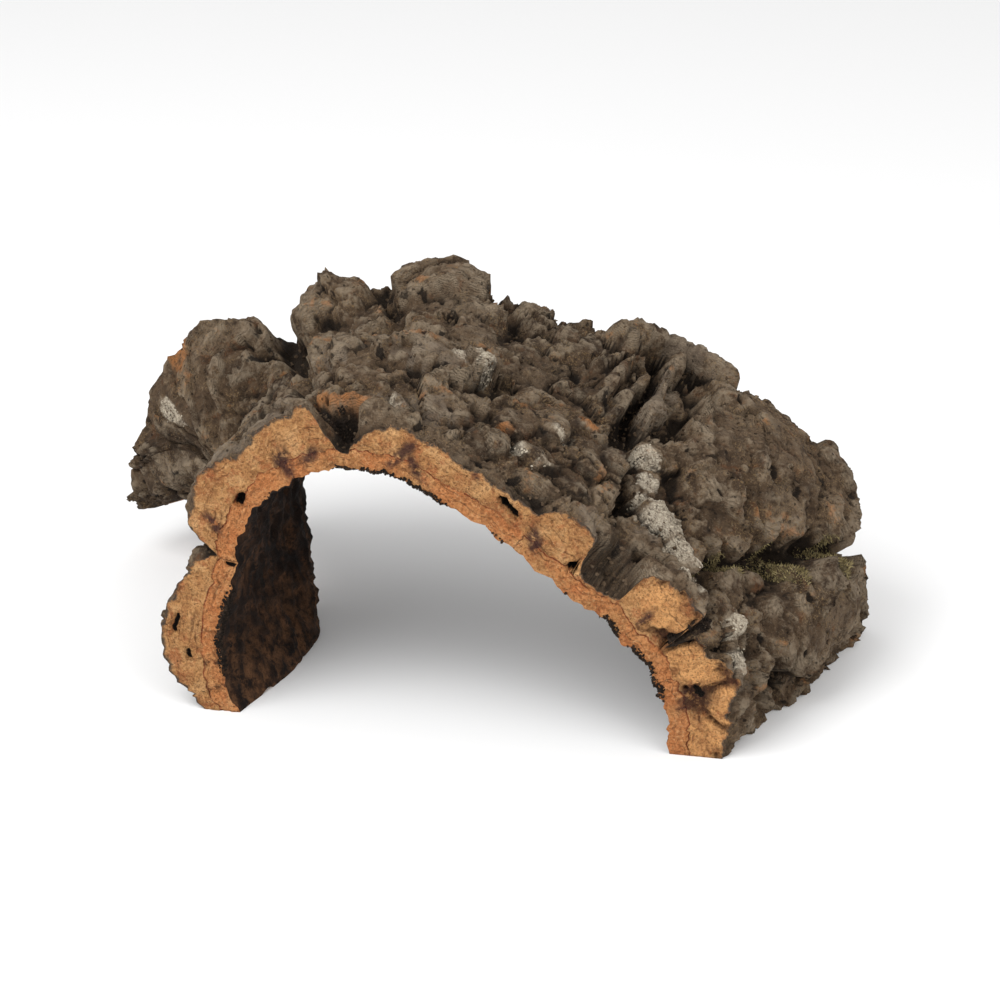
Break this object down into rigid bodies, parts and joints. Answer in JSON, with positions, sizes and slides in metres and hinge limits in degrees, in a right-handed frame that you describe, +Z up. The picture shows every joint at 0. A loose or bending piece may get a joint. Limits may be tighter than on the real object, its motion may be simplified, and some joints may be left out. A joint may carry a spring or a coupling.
{
  "type": "cork bark slab",
  "caption": "Arched slab of natural cork bark with a sawn front edge and a rugged outside, open underneath as a hide or tunnel.",
  "frame": {"origin": "middle of the slab's footprint, on the surface it lies on", "axes": "+Z up, +X along the width of the arch, -Y towards the sawn front edge"},
  "size_m": [0.367, 0.1834, 0.1622],
  "materials": {
    "cork_bark": "rough weathered grey-brown bark outside, tan sawn cork on the cut edges, dark brown inside"
  },
  "bodies": {
    "root": {"cork_bark_slab": "cork_bark"}
  },
  "joints": []
}
